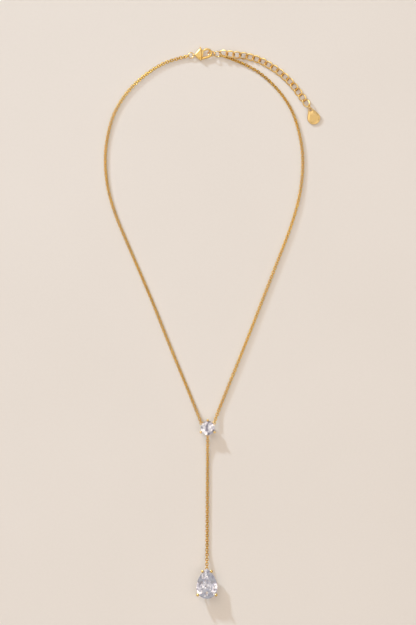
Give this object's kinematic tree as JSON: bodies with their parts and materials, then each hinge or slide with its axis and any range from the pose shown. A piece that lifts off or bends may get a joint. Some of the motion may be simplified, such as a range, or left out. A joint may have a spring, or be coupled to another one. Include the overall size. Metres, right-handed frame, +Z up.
{
  "type": "y necklace",
  "caption": "Gold-tone Y necklace lying flat: fine chain loop, round stone, straight drop chain with a pear stone, lobster clasp and extender chain with a teardrop tag.",
  "frame": {"origin": "centre of the flat base of the round stone's setting, on the surface that the necklace lies on", "axes": "+Y from the pear stone towards the clasp, +Z up out of the surface, +X towards the extender's side"},
  "size_m": [0.0985, 0.2507, 0.0053],
  "materials": {
    "gold": "polished",
    "stone": "polished"
  },
  "bodies": {
    "necklace": {"neck_chain_left": "gold", "neck_chain_right": "gold", "drop_chain": "gold", "extender_chain": "gold", "centre_setting": "gold", "centre_stone": "stone", "pear_setting": "gold", "pear_stone": "stone", "clasp_body": "gold", "clasp_ring": "gold", "catch_ring": "gold", "end_ring": "gold", "tag_ring": "gold", "tag": "gold"},
    "lever": {"clasp_lever": "gold"}
  },
  "joints": [
    {"name": "lever_pivot", "type": "hinge", "parent": "necklace", "child": "lever", "pos_m": [-0.00347, 0.16873, 0.0011], "axis": [0, 0, 1], "range_deg": [0, 22], "stiffness_Nm_per_rad": 0.003, "springref_deg": -11.46}
  ]
}
